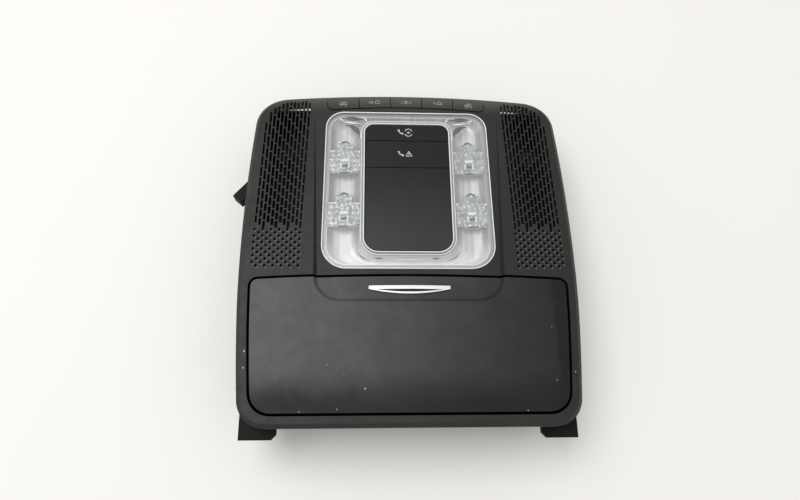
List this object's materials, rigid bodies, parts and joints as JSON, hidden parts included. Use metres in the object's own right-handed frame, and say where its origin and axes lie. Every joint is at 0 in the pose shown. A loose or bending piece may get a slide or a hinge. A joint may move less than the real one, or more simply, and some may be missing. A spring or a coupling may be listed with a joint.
{
  "type": "car dome light",
  "caption": "Overhead car console lamp: dark bezel with slotted grilles, clear ring lens over reading optics, key panel, lamp push buttons and a damped, hinged sunglasses bin.",
  "frame": {"origin": "middle of the bin well's back, on the plane that the part rests on", "axes": "+X across to the right, +Y towards the lamp buttons, +Z out of the face"},
  "size_m": [0.2259, 0.2309, 0.06],
  "materials": {
    "grained_plastic": "fine satin grain",
    "black_plastic": "plain moulded",
    "white_plastic": "plain moulded",
    "clear_plastic": "clear and polished",
    "silvered_plastic": "silver coated",
    "panel_plastic": "satin",
    "bright_trim": "bright plated",
    "flock": "short soft nap",
    "board_laminate": "lacquered",
    "soft_rubber": "matt",
    "steel": "plain bright steel"
  },
  "bodies": {
    "console": {"bezel": "grained_plastic", "rear_housing": "black_plastic", "lamp_lens": "clear_plastic", "reflector": "silvered_plastic", "circuit_board": "board_laminate", "reading_leds": "white_plastic", "tact_switches": "black_plastic", "panel_carrier": "black_plastic", "indicator_window": "panel_plastic", "damper_body": "black_plastic", "catch_spring": "steel", "housing_screws": "steel", "board_screws": "steel", "harness_connector": "black_plastic", "reading_optic_front_left": "clear_plastic", "reading_optic_front_right": "clear_plastic", "reading_optic_rear_left": "clear_plastic", "reading_optic_rear_right": "clear_plastic", "microphone_left": "soft_rubber", "microphone_right": "soft_rubber", "hinge_pin_left": "steel", "hinge_pin_right": "steel", "spring_clip_left": "steel", "spring_clip_right": "steel"},
    "bin_door": {"door_panel": "grained_plastic", "glasses_tray": "black_plastic", "tray_liner": "flock", "handle_trim": "bright_trim"},
    "damper_gear": {"damper_pinion": "white_plastic"},
    "map_button_left": {"map_button_left": "grained_plastic"},
    "door_button": {"door_button": "grained_plastic"},
    "all_lamps_button": {"all_lamps_button": "grained_plastic"},
    "room_button": {"room_button": "grained_plastic"},
    "map_button_right": {"map_button_right": "grained_plastic"},
    "call_key_front": {"call_key_front": "panel_plastic"},
    "call_key_rear": {"call_key_rear": "panel_plastic"}
  },
  "joints": [
    {"name": "door_hinge", "type": "hinge", "parent": "console", "child": "bin_door", "pos_m": [0, -0.0201, 0.0512], "axis": [1, 0, 0], "range_deg": [0, 65]},
    {"name": "damper_spin", "type": "hinge", "parent": "console", "child": "damper_gear", "pos_m": [0, -0.00578, 0.03688], "axis": [1, 0, 0], "range_deg": [-196, 1]},
    {"name": "map_left_press", "type": "slide", "parent": "console", "child": "map_button_left", "axis": [0, 0, -1], "range_m": [0, 0.0008], "stiffness_N_per_m": 400},
    {"name": "door_lamp_press", "type": "slide", "parent": "console", "child": "door_button", "axis": [0, 0, -1], "range_m": [0, 0.0008], "stiffness_N_per_m": 400},
    {"name": "all_lamps_press", "type": "slide", "parent": "console", "child": "all_lamps_button", "axis": [0, 0, -1], "range_m": [0, 0.0008], "stiffness_N_per_m": 400},
    {"name": "room_lamp_press", "type": "slide", "parent": "console", "child": "room_button", "axis": [0, 0, -1], "range_m": [0, 0.0008], "stiffness_N_per_m": 400},
    {"name": "map_right_press", "type": "slide", "parent": "console", "child": "map_button_right", "axis": [0, 0, -1], "range_m": [0, 0.0008], "stiffness_N_per_m": 400},
    {"name": "front_key_press", "type": "slide", "parent": "console", "child": "call_key_front", "axis": [0, 0, -1], "range_m": [0, 0.0006], "stiffness_N_per_m": 400},
    {"name": "rear_key_press", "type": "slide", "parent": "console", "child": "call_key_rear", "axis": [0, 0, -1], "range_m": [0, 0.0006], "stiffness_N_per_m": 400}
  ],
  "couplings": [
    {"joint": "damper_spin", "follows": "door_hinge", "ratio": -3}
  ]
}
